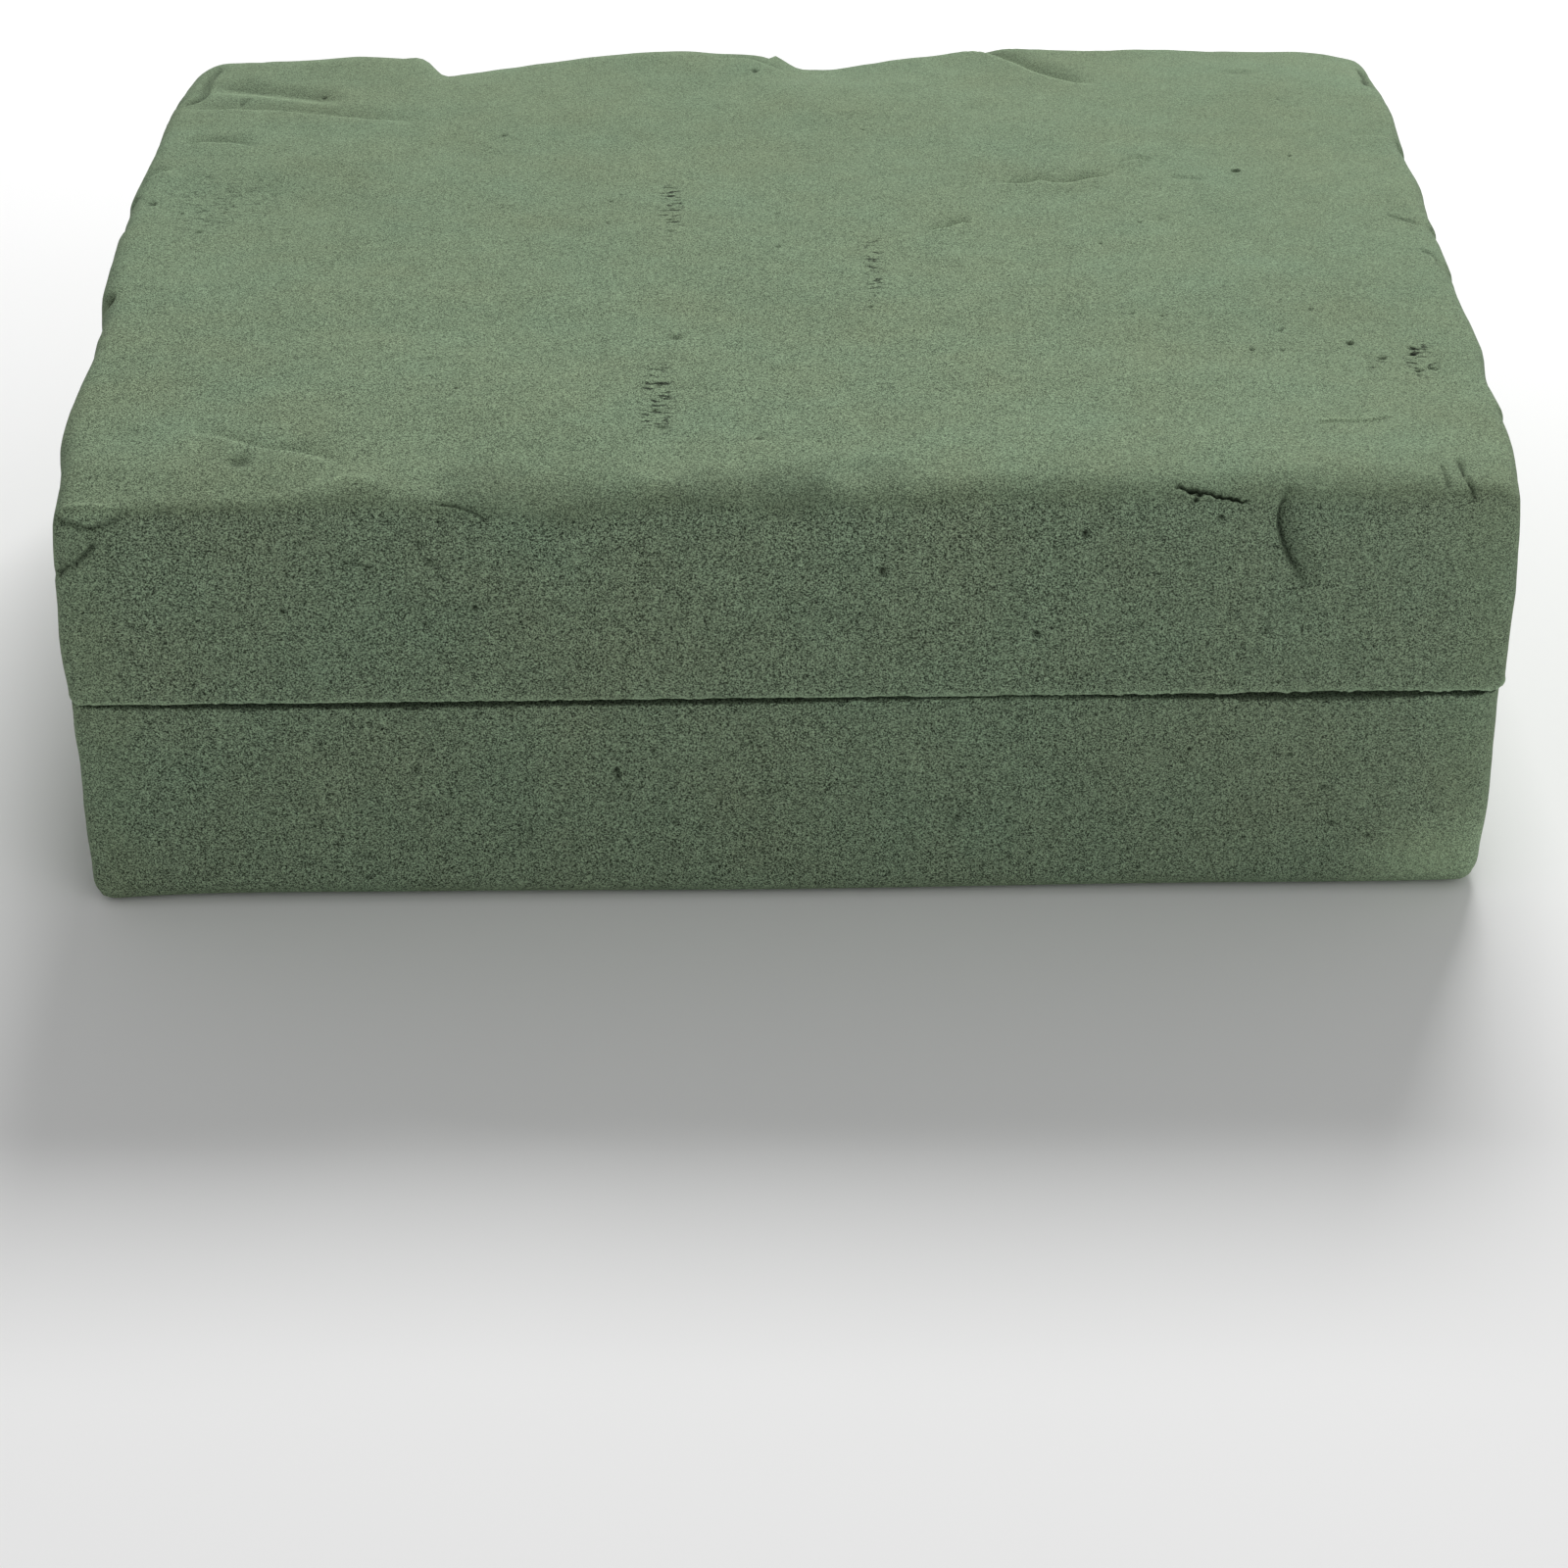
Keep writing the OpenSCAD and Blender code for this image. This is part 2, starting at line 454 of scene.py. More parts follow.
def box_grid(low, high, pitch):
    """A closed box of nearly square faces."""
    low = np.array(low, float)
    high = np.array(high, float)
    counts = np.maximum(1, np.round((high - low) / pitch)).astype(int)
    bm = bmesh.new()
    verts = {}

    def vert(key):
        if key not in verts:
            verts[key] = bm.verts.new(low + (high - low) * np.array(key) / counts)
        return verts[key]

    for axis in range(3):
        u, v = (axis + 1) % 3, (axis + 2) % 3
        for side in (0, 1):
            for a in range(counts[u]):
                for b in range(counts[v]):
                    ring = []
                    for da, db in ((0, 0), (1, 0), (1, 1), (0, 1)):
                        key = [0, 0, 0]
                        key[axis] = side * counts[axis]
                        key[u] = a + da
                        key[v] = b + db
                        ring.append(vert(tuple(int(n) for n in key)))
                    bm.faces.new(ring if side else ring[::-1])
    return bm


def refine(bm, wanted):
    """Splits in four each face whose middle is where wanted(points) is true."""
    bm.faces.ensure_lookup_table()
    middles = np.array([f.calc_center_median() for f in bm.faces])
    picked = np.nonzero(wanted(middles))[0]
    edges = dict.fromkeys(e for i in picked for e in bm.faces[i].edges)
    bmesh.ops.subdivide_edges(bm, edges=list(edges), cuts=1, use_grid_fill=True)


def near_marks(points, marks, pitch):
    """Whether each point of a face is close to a mark that needs faces finer than pitch."""
    close = np.zeros(len(points), bool)
    for mark in marks:
        if mark.fine < pitch * 0.75 and mark.reach:
            side, _ = beside(points, mark.line)
            close |= np.abs(side) < mark.reach + pitch * 0.7
    return close


def detail_wanted(points, pitch, upper):
    """Where the faces of a flat box, now pitch mm across, must be split again."""
    x, y, z = points.T
    on_top = z > TOP - ON_SIDE
    on_front = y < ON_SIDE - HALF_Y
    on_back = y > HALF_Y - ON_SIDE
    on_end = np.abs(x) > HALF_X - ON_SIDE
    on_cut = np.abs(z - CUT) < ON_SIDE
    hidden = (z < ON_SIDE) | on_cut
    rim_gap = np.minimum(HALF_X - np.abs(x), HALF_Y - np.abs(y))
    # At first every visible face is split, and the hidden ones near the rim
    if pitch > 2:
        return ~hidden | (rim_gap < 5)
    # Then those along the front half of the seam, at the front's top edge and near fine marks
    wanted = np.zeros(len(points), bool)
    seam = np.where(on_cut, rim_gap, np.abs(z - CUT))
    at_front = y < 1.3 - HALF_Y
    if pitch > 1:
        wanted |= (seam < 1.3) & (y < 0)
        wanted |= upper & on_front & (z > TOP - 7)
        wanted |= upper & on_top & (y < 9 - HALF_Y)
    elif pitch > 0.5:
        wanted |= (seam < 1.0) & at_front
    if upper:
        flat = np.column_stack([x, y]) * TOP_LAYOUT[0] + TOP_LAYOUT[1]
        wanted[on_top] |= near_marks(flat[on_top], TOP_MARKS, pitch)
        rolled = on_top & (y < 14 - HALF_Y)
        facing = np.column_stack([x, z + (y + HALF_Y) * ROLLED_UPHILL])
        facing = facing * FRONT_LAYOUT[0] + FRONT_LAYOUT[1]
        wanted[rolled] |= near_marks(facing[rolled] - [0, ROLLED_DROP], FRONT_MARKS, pitch)
    facing = np.column_stack([x, z])
    laid_out = facing * FRONT_LAYOUT[0] + FRONT_LAYOUT[1]
    wanted[on_front] |= near_marks(laid_out[on_front], FRONT_MARKS, pitch)
    wanted[on_back] |= near_marks(facing[on_back], BACK_MARKS, pitch)
    across = np.column_stack([y, z])
    for marks, end in ((LEFT_MARKS, x < 0), (RIGHT_MARKS, x > 0)):
        wanted[on_end & end] |= near_marks(across[on_end & end], marks, pitch)
    return wanted


def rounding(flat, upper):
    """The radii along x, y and z of the casting's rounded edges, at each point of the flat box."""
    x, y, z = flat.T
    back = ease((y - 50) / 28)
    if upper:
        roll = through(
            x,
            [
                -115, -90, -76, -66, -60, -52, -45, -35, -26, -18, -10,
                3, 9, 15, 24, 45, 60, 76, 92, 105, 115,
            ],
            [
                3.2, 3, 3.4, 6, 5, 4.5, 8, 14, 11, 5.5, 7.5,
                8.5, 5, 7, 6, 6.5, 6.5, 7, 7, 4.5, 3.4,
            ],
        )
    else:
        roll = through(x, [-115, -106, -60, 0, 60, 106, 115], [3.4, 5, 6, 5, 6, 6, 6.5])
    front = ease((-50 - y) / 25)
    along_x = (3.6 if upper else 4.6) + np.where(x < 0, 5, 1) * back
    along_y = np.where(y < 0, roll, np.where(x < 0, 9, 4) + (2.5 - np.abs(x) / 46) * ease(x / 40 + 0.5))
    ends = 4.2 + 0.9 * noise(flat * [0, 1, 0], 17, 32)
    along_z = ends + (2 + 0.5 * roll - ends) * front + (6 - ends) * back
    return np.column_stack([along_x, along_y, along_z])


def rounded(flat, upper):
    """The flat box's points moved onto the rounded brick, and the outward direction there."""
    radii = rounding(flat, upper)
    x, y, z = flat.T
    inner = np.column_stack([HALF_X - radii[:, 0], HALF_Y - radii[:, 1], np.zeros(len(flat))])
    beyond = np.column_stack([np.abs(x), np.abs(y), np.zeros(len(flat))]) - inner
    beyond[:, 2] = z - (TOP - radii[:, 2]) if upper else radii[:, 2] - z
    share = np.maximum(beyond, 0) / radii
    # A share's largest part becomes its length, which turns the box's square edges into round ones
    longest = share.max(axis=1)
    bent = share * (longest / np.maximum(np.linalg.norm(share, axis=1), 1e-9))[:, None]
    sign = np.column_stack([np.sign(x), np.sign(y), np.full(len(flat), 1.0 if upper else -1.0)])
    moved = flat.copy()
    for axis in (0, 1):
        in_curve = share[:, axis] > 0
        curve = inner[:, axis] + radii[:, axis] * bent[:, axis]
        moved[:, axis] = np.where(in_curve, sign[:, axis] * curve, flat[:, axis])
    height = radii[:, 2] * (1 - bent[:, 2])
    moved[:, 2] = np.where(share[:, 2] > 0, TOP - height if upper else height, z)
    outward = bent / radii * sign
    outward /= np.maximum(np.linalg.norm(outward, axis=1), 1e-9)[:, None]
    return moved, outward


def end_sunk(y, z, left):
    """How far an end's skin lies inside the brick's box."""
    y = y + 0.12 * (z - TOP)
    if left:
        sunk = through(
            y,
            [-86, -76, -63, -44, -31, -20, -14, -6, 8, 20, 32, 44, 58, 67, 76, 86],
            [2.4, 2.2, 1.1, 1.3, 1.9, 1.6, 0.5, 0.4, 0.1, 0.6, 0.8, 1.7, 2.3, 2.9, 4.2, 5.0],
        )
    else:
        sunk = through(
            y,
            [-86, -80, -68, -56, -48, -35, -14, 10, 26, 40, 46, 60, 72, 86],
            [2.0, 1.6, 0.6, 0.2, 0.9, 0.0, 0.8, 1.3, 1.1, 1.9, 1.4, 1.7, 1.8, 1.8],
        )
    return sunk + 1.5 * np.clip((z - 54) / 22, 0, 1) ** 2


def back_sunk(x, z):
    """How far the back's skin lies inside the brick's box."""
    x = x + 0.15 * (z - TOP)
    return through(
        x,
        [-115, -100, -84, -70, -64, -60, -48, -32, -10, 0, 6, 20, 42, 60, 90, 104, 115],
        [2.0, 1.2, 0.4, 0.8, 1.4, 3.6, 1.8, 0.4, 0.3, 1.0, 3.4, 1.9, 0.2, 0.9, 0.6, 1.8, 3.0],
    )


def back_edge_drop(x):
    """How far the top's skin is pulled down along the back edge."""
    return through(
        x,
        [
            -115, -100, -84, -70, -65, -61.5, -58, -46, -32, -12,
            0, 4.5, 8, 20, 42, 60, 90, 104, 110, 115,
        ],
        [
            0.1, -0.4, -0.9, -1.0, -0.6, 3.6, 2.9, 0.9, -0.6, -0.8,
            0.6, 3.3, 3.1, 1.2, -1.0, -0.4, 1.5, 1.6, 2.8, 3.0,
        ],
    )


def front_edge_drop(x):
    """How far the top's skin sags along the front edge, besides the rounding."""
    return through(
        x,
        [-115, -90, -76, -68, -60, -53, -46, -20, 0, 60, 105, 115],
        [1.6, 1.9, 1.5, 0.2, 0.3, 1.2, 0.2, 0.0, 0.3, 0.5, 0.7, 1.0],
    )


def wear(distance, size):
    """The rounding of a worn square edge: how far a point moves off its face and along it."""
    q = np.clip(1 - distance / size, 0, 1)
    length = np.sqrt(1 + q * q)
    off = size * (1 - 1 / length)
    return np.where(q > 0, off, 0), np.where(q > 0, size - size * q / length - distance, 0)


def seam_gape(x, y):
    """How far the saw cut stands open along the brick's edge: more at the front than behind."""
    gape = through(
        x,
        [-115, -98, -80, -20, 4, 14, 50, 62, 98, 115],
        [0.4, 0.75, 0.95, 0.95, 0.85, 0.65, 0.65, 1.0, 1.15, 0.7],
    )
    return 0.25 + (gape - 0.25) * ease((20 - y) / 60)


def smooth_corner(x, z):
    """How far a place lies inside the smooth patch of cast skin at the front's lower right, which is also
    painted lighter: 1.25 in its middle.
    """
    return 1.25 - np.hypot((x - 112) / 22, (z - 4) / 13)


def sink_skin(place, x, y, upper):
    """Draws the ends and back in between swells, and the lower slab's ends and front a little more."""
    height = place[:, 2]
    ends = np.abs(place[:, 0] / HALF_X) ** SKIN_FADE
    left_sunk = end_sunk(place[:, 1], height, left=True)
    right_sunk = end_sunk(place[:, 1], height, left=False)
    sunk = np.where(x < 0, left_sunk, right_sunk) + 0.3 * noise(place + 50, 11, 41) + 0.3
    back = np.where(place[:, 1] > 0, (place[:, 1] / HALF_Y) ** SKIN_FADE, 0)
    pulled = back_sunk(place[:, 0], height) + 0.35 * noise(place + 90, 12, 42) + 0.35
    place[:, 0] -= np.sign(x) * ends * sunk
    place[:, 1] -= back * pulled
    if not upper:
        front = np.where(y < 0, np.abs(place[:, 1] / HALF_Y) ** SKIN_FADE, 0)
        place[:, 1] += SET_BACK * front
        place[:, 0] -= np.sign(x) * ends * SET_IN


def swell_top(place):
    """Gives the cast top its swells, and draws it down along the back and the front edge."""
    # The swells are whole down to 8 mm below the top, and gone 6 mm above the saw cut
    lifted = ease((place[:, 2] - CUT - 6) / (TOP - CUT - 14))
    from_back = HALF_Y - place[:, 1]
    from_front = HALF_Y + place[:, 1]
    reach = 26 + 6 * noise(place * [1, 0, 0], 19, 43)
    drop = back_edge_drop(place[:, 0]) * ease(1 - from_back / reach) ** 1.3
    drop = drop + front_edge_drop(place[:, 0]) * ease(1 - from_front / 12)
    flatwise = place * [1, 1, 0]
    swell = 0.55 * noise(flatwise, 41, 44) + 0.3 * noise(flatwise, 19, 45)
    swell = swell + 0.12 * noise(flatwise, 8, 46)
    swell = swell + 0.05 * noise(flatwise, 3.2, 47)
    place[:, 2] += lifted * (swell - 0.45 - drop)


def marked(place, outward, sawn, free, upper):
    """How far unevenness and marks push out the free points, the marks' painted shade and highlights, and
    torn cells.
    """
    # The sawn front is flat but for the saw's wander; the skin elsewhere is finely uneven
    push = -0.12 - 0.1 * sawn + sawn * 0.12 * noise(place, 34, 48) + sawn * 0.04 * noise(place, 1.7, 49)
    push = push + (1 - sawn) * (0.12 * noise(place, 6, 50) + 0.05 * noise(place, 2.6, 51))
    push = np.where(free, push, 0)

    painted_shading = np.zeros(len(place))
    torn = np.zeros(len(place))
    facing = np.column_stack([place[:, 0], place[:, 2] + (place[:, 1] + HALF_Y) * UPHILL])
    facing = facing * FRONT_LAYOUT[0] + FRONT_LAYOUT[1]
    flatwise = place[:, [0, 1]] * TOP_LAYOUT[0] + TOP_LAYOUT[1]
    groups = [
        (FRONT_MARKS, facing, ease((-outward[:, 1] - 0.12) / 0.3)),
        (BACK_MARKS, place[:, [0, 2]], ease((outward[:, 1] - 0.2) / 0.4)),
        (LEFT_MARKS, place[:, [1, 2]], ease((-outward[:, 0] - 0.2) / 0.4)),
        (RIGHT_MARKS, place[:, [1, 2]], ease((outward[:, 0] - 0.2) / 0.4)),
    ]
    if upper:
        groups.append((TOP_MARKS, flatwise, ease((outward[:, 2] - 0.3) / 0.4)))
    for marks, where, weight in groups:
        used = (weight > 0) & free
        for mark in marks:
            raised, dark = mark.shape(where[used])
            push[used] += raised * weight[used]
            painted_shading[used] += dark * weight[used]
    if upper:
        for patch in TORN_PATCHES:
            torn = np.maximum(torn, patch.torn(flatwise) * (outward[:, 2] > 0.5))
        push -= 0.12 * torn
    return push, painted_shading, torn


def crumble_cut(place, outward, flat, inside_cut, gape, upper):
    """Wears off the edge of the saw cut, opens it by its gape and gives it crumbs."""
    x, y, z = flat.T
    away = 1 if upper else -1  # the direction along z that leads away from the saw cut
    on_cut = np.abs(z - CUT) < ON_SIDE
    wall = ~inside_cut
    rim_gap = np.minimum(HALF_X - np.abs(x), HALF_Y - np.abs(y))
    crumbs = noise(place * [1, 1, 0.5], 1.1, 52) + 0.8 * noise(place * [1, 1, 0.5], 2.9, 53)
    crumbs = crumbs + 0.9 * noise(place * [1, 1, 0.5], 0.6, 59)

    # The square edge between the wall and the cut is worn off raggedly
    size = (0.3 if upper else 0.6) + 0.3 * noise(place * [1, 1, 0], 6, 54) + 0.2 * crumbs
    size = np.clip(size, 0.25, 2)
    off, along = wear(np.abs(z - CUT), size)
    ragged = np.exp(-np.abs(z - CUT) / 0.8) * 0.2 * crumbs
    place[wall] -= (outward * (off - ragged)[:, None])[wall]
    place[wall, 2] += (away * along)[wall]
    off, _ = wear(rim_gap, size)
    place[inside_cut, 2] += (away * off)[inside_cut]

    # The cut gapes, with saw marks across its face and crumbs along its edge
    opened = ease(1 - rim_gap / GAPE_DEPTH) * gape * (UPPER_GAPE if upper else 1)
    sawing = 0.05 * noise(place * [1, 0.1, 0], 1.9, 55) + 0.05 * noise(place, 9, 56)
    lift = 0.1 + opened + np.where(on_cut, sawing, 0)
    crumbling = 0.2 + 0.14 * ease((x - 30) / 30) * ease((20 - y) / 60)
    lift = lift + np.where(wall, np.exp(-np.abs(z - CUT) / 0.5) * crumbling * crumbs, 0)
    place[:, 2] += away * ease(1 - np.abs(z - CUT) / 6) * lift


def shaped(flat, upper):
    """The slab's real surface: each point's place, and the values that the material reads there."""
    x, y, z = flat.T
    on_cut = np.abs(z - CUT) < ON_SIDE
    on_wall = (np.abs(x) > HALF_X - ON_SIDE) | (np.abs(y) > HALF_Y - ON_SIDE)
    inside_cut = on_cut & ~on_wall
    on_base = (z < ON_SIDE) & (not upper)
    place, outward = rounded(flat, upper)
    outward[inside_cut] = [0, 0, -1 if upper else 1]
    sink_skin(place, x, y, upper)
    if upper:
        swell_top(place)
    sawn = ease((-outward[:, 1] - 0.62) / 0.37)  # 1 on the sawn front, 0 where its edges have rounded away
    push, painted_shading, torn = marked(place, outward, sawn, ~on_cut & ~on_base, upper)
    place += outward * push[:, None]
    # Painted light: the patch at the front's lower right is lightened, though its rounding faces down
    # towards the floor
    painted_shading = np.clip(painted_shading - 0.5 * ease(smooth_corner(x, z)), -0.5, 1)
    gape = seam_gape(x, y)
    crumble_cut(place, outward, flat, inside_cut, gape, upper)

    # How far the colour is that of cast skin, on the way from 0 where it is sawn to 1
    side_skin = 0.65 * ease((np.abs(x) - 101 - 3 * noise(flat, 13, 57)) / 9)
    side_skin = np.maximum(side_skin, ease(smooth_corner(x, z) - 0.2 * noise(flat, 9, 58)))
    skin = np.where(on_cut, 0, np.maximum(1 - sawn, sawn * side_skin))

    # The upper slab's crumbled rim is pale, and the lower one's has painted shade where the cut gapes at
    # the front
    rim_gap = np.minimum(HALF_X - np.abs(x), HALF_Y - np.abs(y))
    if upper:
        rim = np.where(on_cut, np.exp(-rim_gap / 0.6), np.exp(-np.abs(z - CUT) / 0.35))
    else:
        rim = np.zeros(len(flat))
        shaded = ease(1 - np.where(on_cut, rim_gap / 7, np.abs(z - CUT) / 0.4)) * ease((10 - y) / 40)
        painted_shading = np.where(shaded > 0, np.maximum(painted_shading, 0.5 * shaded * ease(gape / 0.8)), painted_shading)
    return place, {"skin": skin, "painted_shading": painted_shading, "rim": rim, "torn": torn}


def make_slab(name, upper):
    """One slab as a closed mesh, with the values that its material reads."""
    low = (-HALF_X, -HALF_Y, CUT if upper else 0)
    high = (HALF_X, HALF_Y, TOP if upper else CUT)
    bm = box_grid(low, high, COARSE)
    pitch = COARSE
    while pitch > FINEST:
        refine(bm, lambda points, size=pitch: detail_wanted(points, size, upper))
        pitch /= 2
    mesh = bpy.data.meshes.new(name)
    bm.to_mesh(mesh)
    bm.free()
    flat = np.zeros(len(mesh.vertices) * 3)
    mesh.vertices.foreach_get("co", flat)
    place, values = shaped(flat.reshape(-1, 3), upper)
    mesh.vertices.foreach_set("co", (place * MM).ravel())
    for label in values:
        mesh.attributes.new(label, "FLOAT", "POINT").data.foreach_set("value", values[label])
    mesh.polygons.foreach_set("use_smooth", [True] * len(mesh.polygons))
    mesh.set_sharp_from_angle(angle=math.radians(75))
    mesh.update()
    slab = bpy.data.objects.new(name, mesh)
    bpy.context.scene.collection.objects.link(slab)
    return slab


# ---------------------------------------------------------------- the material


class Nodes:
    """Short calls for building a material's node tree."""

    def __init__(self, material):
        self.tree = material.node_tree
        self.place = self.add("ShaderNodeTexCoord").outputs["Object"]

    def add(self, kind, **settings):
        node = self.tree.nodes.new(kind)
        for key, value in settings.items():
            setattr(node, key, value)
        return node

    def link(self, source, target):
        if isinstance(source, (int, float)):
            target.default_value = source
        else:
            self.tree.links.new(source, target)

    def math(self, operation, a, b=0.0):
        node = self.add("ShaderNodeMath", operation=operation)
        self.link(a, node.inputs[0])
        self.link(b, node.inputs[1])
        return node.outputs[0]

    def along(self, axis):
        node = self.add("ShaderNodeSeparateXYZ")
        self.link(self.place, node.inputs[0])
        return node.outputs[axis]

    def value(self, attribute):
        return self.add("ShaderNodeAttribute", attribute_name=attribute).outputs["Fac"]

    def stretched(self, factors):
        node = self.add("ShaderNodeVectorMath", operation="MULTIPLY")
        self.link(self.place, node.inputs[0])
        node.inputs[1].default_value = factors
        return node.outputs[0]

    def noise(self, size, detail=2.0, roughness=0.5, place=None):
        """Noise from about -1 to 1 with grains of the given size in metres."""
        node = self.add("ShaderNodeTexNoise")
        self.link(place or self.place, node.inputs["Vector"])
        node.inputs["Scale"].default_value = 1 / size
        node.inputs["Detail"].default_value = detail
        node.inputs["Roughness"].default_value = roughness
        return self.spread(node.outputs["Fac"], 0.25, 0.75, -1, 1)

    def spread(self, value, low, high, to_low=0.0, to_high=1.0):
        node = self.add("ShaderNodeMapRange")
        self.link(value, node.inputs["Value"])
        for key, number in (("From Min", low), ("From Max", high), ("To Min", to_low), ("To Max", to_high)):
            self.link(number, node.inputs[key])
        return node.outputs["Result"]

    def bubbles(self, size, common):
        """Round spots about size metres apart, 1 in the middle; common is the share of places with one."""
        node = self.add("ShaderNodeTexVoronoi")
        self.link(self.place, node.inputs["Vector"])
        node.inputs["Scale"].default_value = 1 / size
        chance = self.add("ShaderNodeSeparateColor")
        self.link(node.outputs["Color"], chance.inputs["Color"])
        there = self.math("LESS_THAN", chance.outputs["Red"], common)
        round_spot = self.spread(node.outputs["Distance"], 0.1, 0.45, 1, 0)
        return self.math("MULTIPLY", there, round_spot)

    def cells(self, size):
        """Irregular grains about size metres across, each with its own value from -1 to 1."""
        node = self.add("ShaderNodeTexVoronoi")
        self.link(self.place, node.inputs["Vector"])
        node.inputs["Scale"].default_value = 1 / size
        chance = self.add("ShaderNodeSeparateColor")
        self.link(node.outputs["Color"], chance.inputs["Color"])
        return self.spread(chance.outputs["Red"], 0, 1, -1, 1)

    def mix(self, amount, first, second):
        node = self.add("ShaderNodeMix", data_type="RGBA")
        self.link(amount, node.inputs[0])
        for source, target in ((first, node.inputs[6]), (second, node.inputs[7])):
            if isinstance(source, tuple):
                target.default_value = (*source, 1)
            else:
                self.link(source, target)
        return node.outputs[2]

    def scaled(self, colour, factor):
        node = self.add("ShaderNodeVectorMath", operation="SCALE")
        self.link(colour, node.inputs[0])
        self.link(factor, node.inputs["Scale"])
        return node.outputs[0]


def grain_contrast(n, skin, rim):
    """How strongly the grain shows: less on the skin, to the back, on the pale rim and at the right."""
    strength = n.spread(skin, 0, 1, 1.52, 0.86)
    strength = n.math("MULTIPLY", strength, n.spread(n.along("Y"), -0.05, 0.08, 1, 0.48))
    strength = n.math("MULTIPLY", strength, n.spread(rim, 0, 1, 1, 0.5))
    return n.math("MULTIPLY", strength, n.spread(n.along("X"), 0.03, 0.09, 1, 0.82))


def grain_relief(n, skin, grain, dust, pores, dashes, streaks):
    """The surface direction that the grain's fine relief gives."""
    height = n.math("ADD", n.math("MULTIPLY", grain, 0.15), n.math("MULTIPLY", dust, 0.5))
    height = n.math("SUBTRACT", height, pores)
    height = n.math("SUBTRACT", height, n.math("MULTIPLY", dashes, 2.0))
    height = n.math("MULTIPLY", height, n.spread(skin, 0, 1, 1.0, 0.4))
    height = n.math("ADD", height, n.math("MULTIPLY", streaks, 0.35))
    bump = n.add("ShaderNodeBump")
    bump.inputs["Strength"].default_value = 1.0
    bump.inputs["Distance"].default_value = 0.00016
    n.link(height, bump.inputs["Height"])
    return bump.outputs["Normal"]


def foam_material():
    """Dry floral foam: finely granular where it is sawn, smoother and yellower on the cast skin."""
    material = bpy.data.materials.new("floral_foam")
    material.use_nodes = True
    n = Nodes(material)
    shader = material.node_tree.nodes["Principled BSDF"]
    skin = n.value("skin")
    painted_shading = n.value("painted_shading")
    rim = n.value("rim")
    torn = n.value("torn")
    sawn = n.math("SUBTRACT", 1.0, skin)

    cells = n.cells(0.00015)
    grain = n.noise(0.00045, 2.0, 0.6)
    dust = n.noise(0.0002, 1.0)
    clumps = n.noise(0.0045, 2.0)
    clouds = n.noise(0.03, 3.0)
    tint = n.noise(0.021, 3.0, 0.6, n.stretched((1, 1.4, 1)))
    streaks = n.noise(0.0012, 2.0, 0.5, n.stretched((1, 0.03, 0.03)))
    streaks = n.math("MULTIPLY", streaks, sawn)
    # Pores are hollows in the bump, painted darker as the shade in them; glints are painted highlights on
    # cell walls
    pores = n.bubbles(0.00055, 0.12)
    glints = n.bubbles(0.0004, 0.06)
    # Slits of the torn cells: hollows in the bump, painted dark as the shade in them
    dashes = n.spread(n.noise(0.00075, 1.0, 0.5, n.stretched((0.35, 1, 1))), -0.6, -0.15, 1, 0)
    dashes = n.math("MULTIPLY", dashes, torn)

    # Brightness, as layers on a base of about 1, with painted shade in the recesses and painted highlights
    # on lips and ridges
    bright = n.math("ADD", n.math("MULTIPLY", cells, 0.85), n.math("MULTIPLY", grain, 0.06))
    bright = n.math("MULTIPLY", bright, grain_contrast(n, skin, rim))
    dark_pores = n.math("MULTIPLY", pores, n.spread(skin, 0, 1, 0.5, 0.2))
    bright = n.math("SUBTRACT", bright, dark_pores)
    bright = n.math("ADD", bright, n.math("MULTIPLY", glints, n.spread(skin, 0, 1, 0.5, 0.22)))
    bright = n.math("SUBTRACT", bright, n.math("MULTIPLY", dashes, 1.15))
    bright = n.math("ADD", bright, n.math("MULTIPLY", clumps, 0.04))
    bright = n.math("ADD", bright, n.math("MULTIPLY", clouds, 0.03))
    bright = n.math("ADD", bright, n.math("MULTIPLY", streaks, 0.065))
    bright = n.math("ADD", bright, n.math("MULTIPLY", rim, 0.95))
    # Painted light: the colour grows evenly lighter from the left end to the right end
    bright = n.math("ADD", bright, n.spread(n.along("X"), -0.115, 0.115, -0.04, 0.04))
    bright = n.math("ADD", bright, n.spread(skin, 0, 1, 1.1, 1.0))
    # Painted shade of the marks, the seam and the lower right corner darkens the colour here, and painted
    # highlights lighten it
    shade = n.math("SUBTRACT", 1.0, n.math("MULTIPLY", painted_shading, 0.8))
    bright = n.math("MULTIPLY", n.math("MAXIMUM", bright, 0.12), shade)

    skin_colour = n.mix(n.spread(tint, -0.8, 0.8), (0.182, 0.238, 0.148), (0.177, 0.247, 0.158))
    skin_colour = n.mix(n.spread(dust, 0.3, 1.0, 0, 0.3), skin_colour, (0.21, 0.225, 0.15))
    sawn_colour = n.mix(n.spread(tint, -1, 1), (0.174, 0.225, 0.146), (0.166, 0.232, 0.153))
    colour = n.mix(sawn, skin_colour, sawn_colour)
    n.link(n.scaled(colour, bright), shader.inputs["Base Color"])
    n.link(grain_relief(n, skin, grain, dust, pores, dashes, streaks), shader.inputs["Normal"])
    n.link(n.spread(grain, -1, 1, 0.88, 1.0), shader.inputs["Roughness"])
    shader.inputs["Specular IOR Level"].default_value = 0.15
    return material


# ---------------------------------------------------------------- the pieces

foam = foam_material()
for node, upper in (("lower_slab", False), ("upper_slab", True)):
    piece = make_slab(node + "_foam", upper)
    piece.data.materials.append(foam)
    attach(piece, node)
    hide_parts(node)

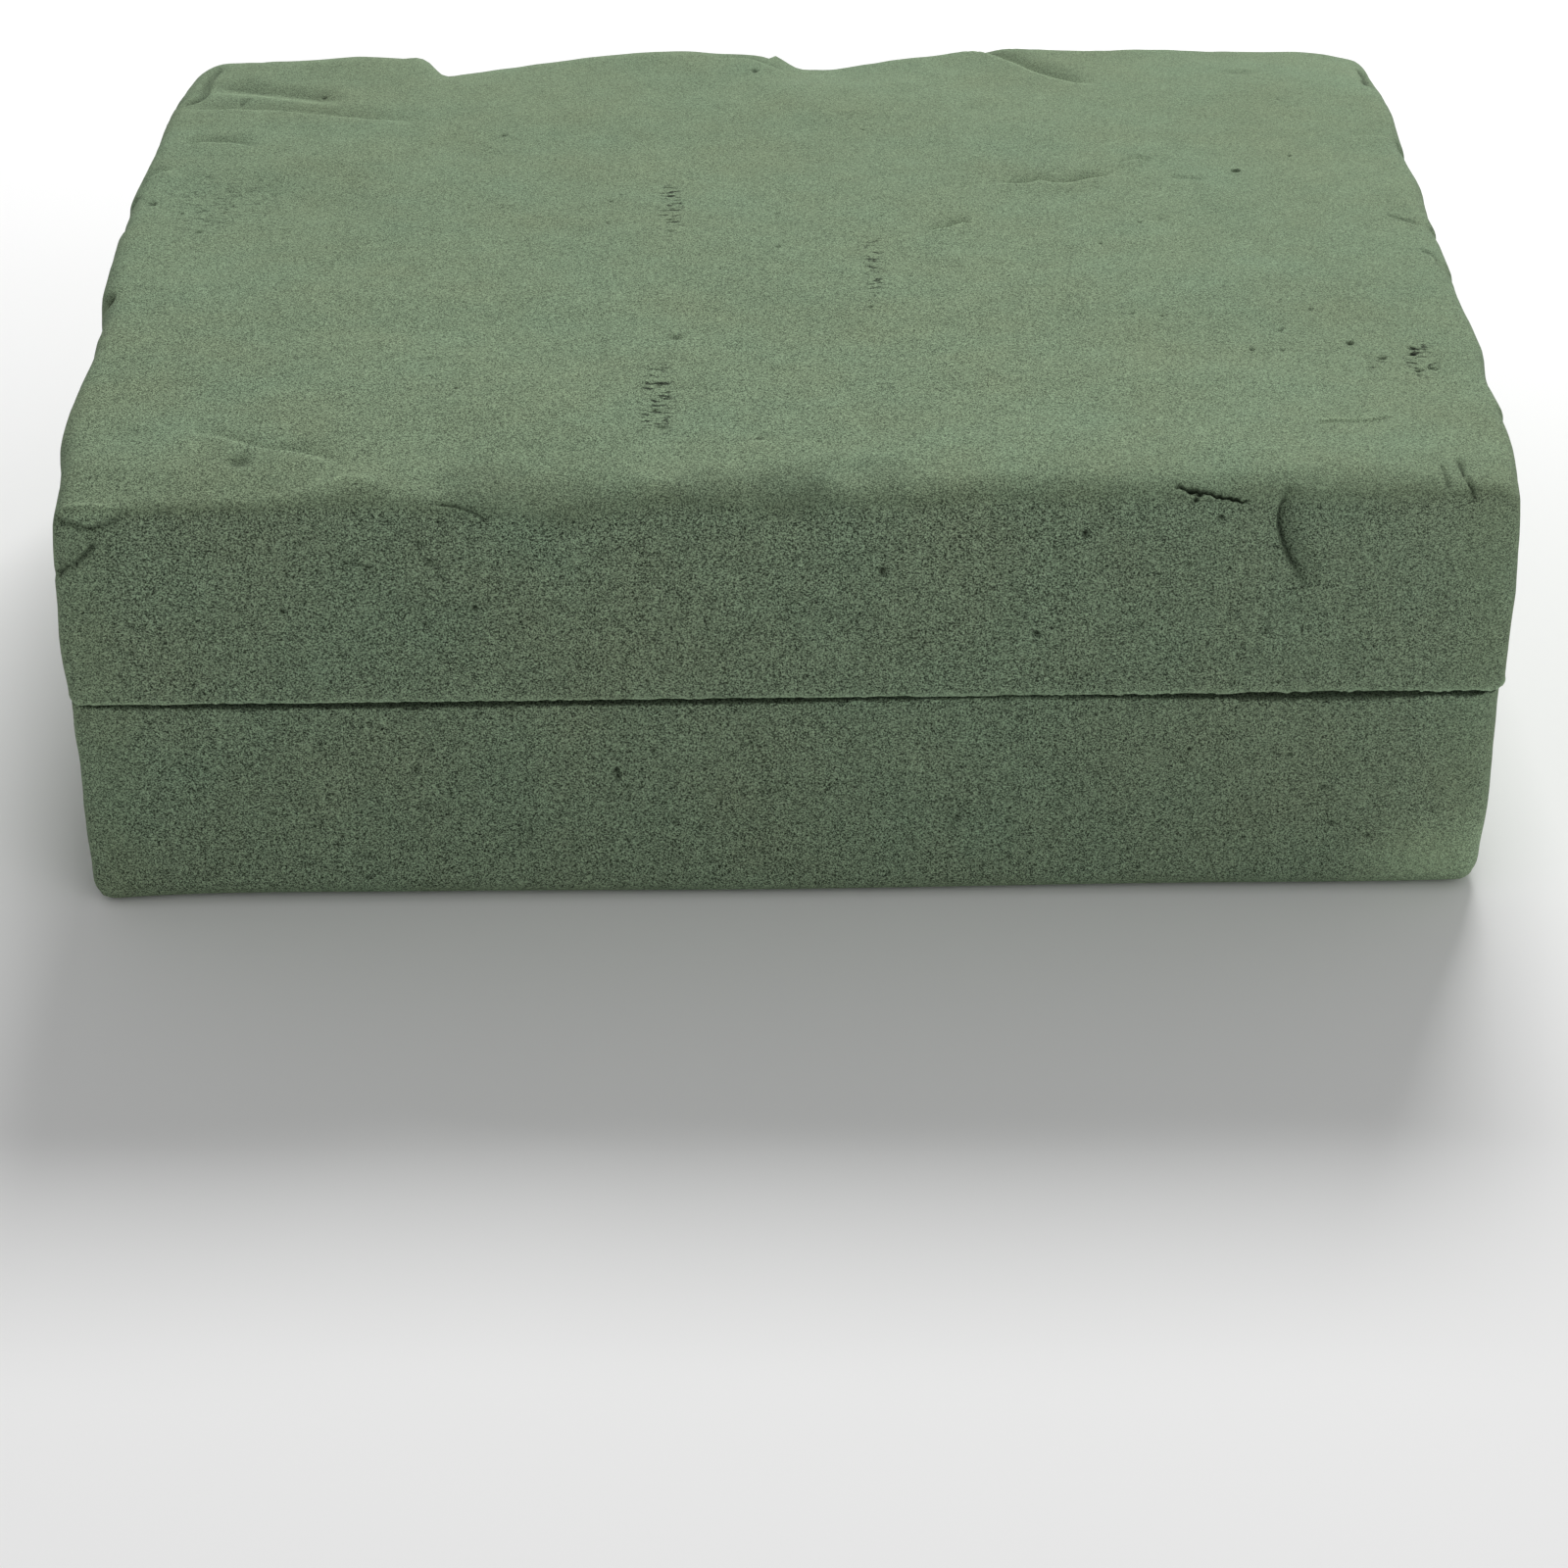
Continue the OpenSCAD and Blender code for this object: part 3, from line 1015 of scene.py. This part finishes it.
# ---------------------------------------------------------------- floor, lights and camera


def plain_material(name, colour):
    material = bpy.data.materials.new(name)
    material.use_nodes = True
    shader = material.node_tree.nodes["Principled BSDF"]
    shader.inputs["Base Color"].default_value = (*colour, 1)
    shader.inputs["Roughness"].default_value = 0.9
    shader.inputs["Specular IOR Level"].default_value = 0.1
    return material


bpy.ops.mesh.primitive_plane_add(size=12, location=(0, 2, -0.0002))
floor = bpy.context.object
floor.name = "floor"
floor.data.materials.append(plain_material("pale_floor", (0.86, 0.86, 0.86)))


def area_light(name, place, target, size, power):
    light = bpy.data.lights.new(name, "AREA")
    light.shape = "RECTANGLE"
    light.size, light.size_y = size
    light.energy = power
    lamp = bpy.data.objects.new(name, light)
    lamp.location = place
    lamp.rotation_euler = (Vector(target) - Vector(place)).to_track_quat("-Z", "Y").to_euler()
    bpy.context.scene.collection.objects.link(lamp)


# The main light stands behind the brick, so that its shadow falls forward
area_light("softbox_above", (0.2, 0.95, 1.0), (0, 0, 0.04), (0.6, 0.45), 17.5)
area_light("fill_front", (0.8, -1.2, 0.9), (0, 0, 0.04), (1.2, 0.8), 3.7)

world = bpy.data.worlds.new("studio")
bpy.context.scene.world = world
world.use_nodes = True
world.node_tree.nodes["Background"].inputs["Color"].default_value = (1, 1, 1, 1)
world.node_tree.nodes["Background"].inputs["Strength"].default_value = 0.4

# The camera's place, turn and focal length were fitted to the photo's perspective
lens = bpy.data.cameras.new("camera")
lens.lens = 87.9
lens.sensor_width = 36
lens.clip_start = 0.05
camera = bpy.data.objects.new("camera", lens)
bpy.context.scene.collection.objects.link(camera)
yaw, pitch, roll = math.radians(-0.34), math.radians(33.74), math.radians(-0.45)
aim = Matrix.Rotation(yaw, 4, "Z") @ Matrix.Rotation(math.pi / 2 - pitch, 4, "X")
turn = aim @ Matrix.Rotation(roll, 4, "Z")
camera.matrix_world = Matrix.Translation((-0.0035, -0.5892, 0.3591)) @ turn
bpy.context.scene.camera = camera
bpy.context.scene.view_settings.view_transform = "Standard"
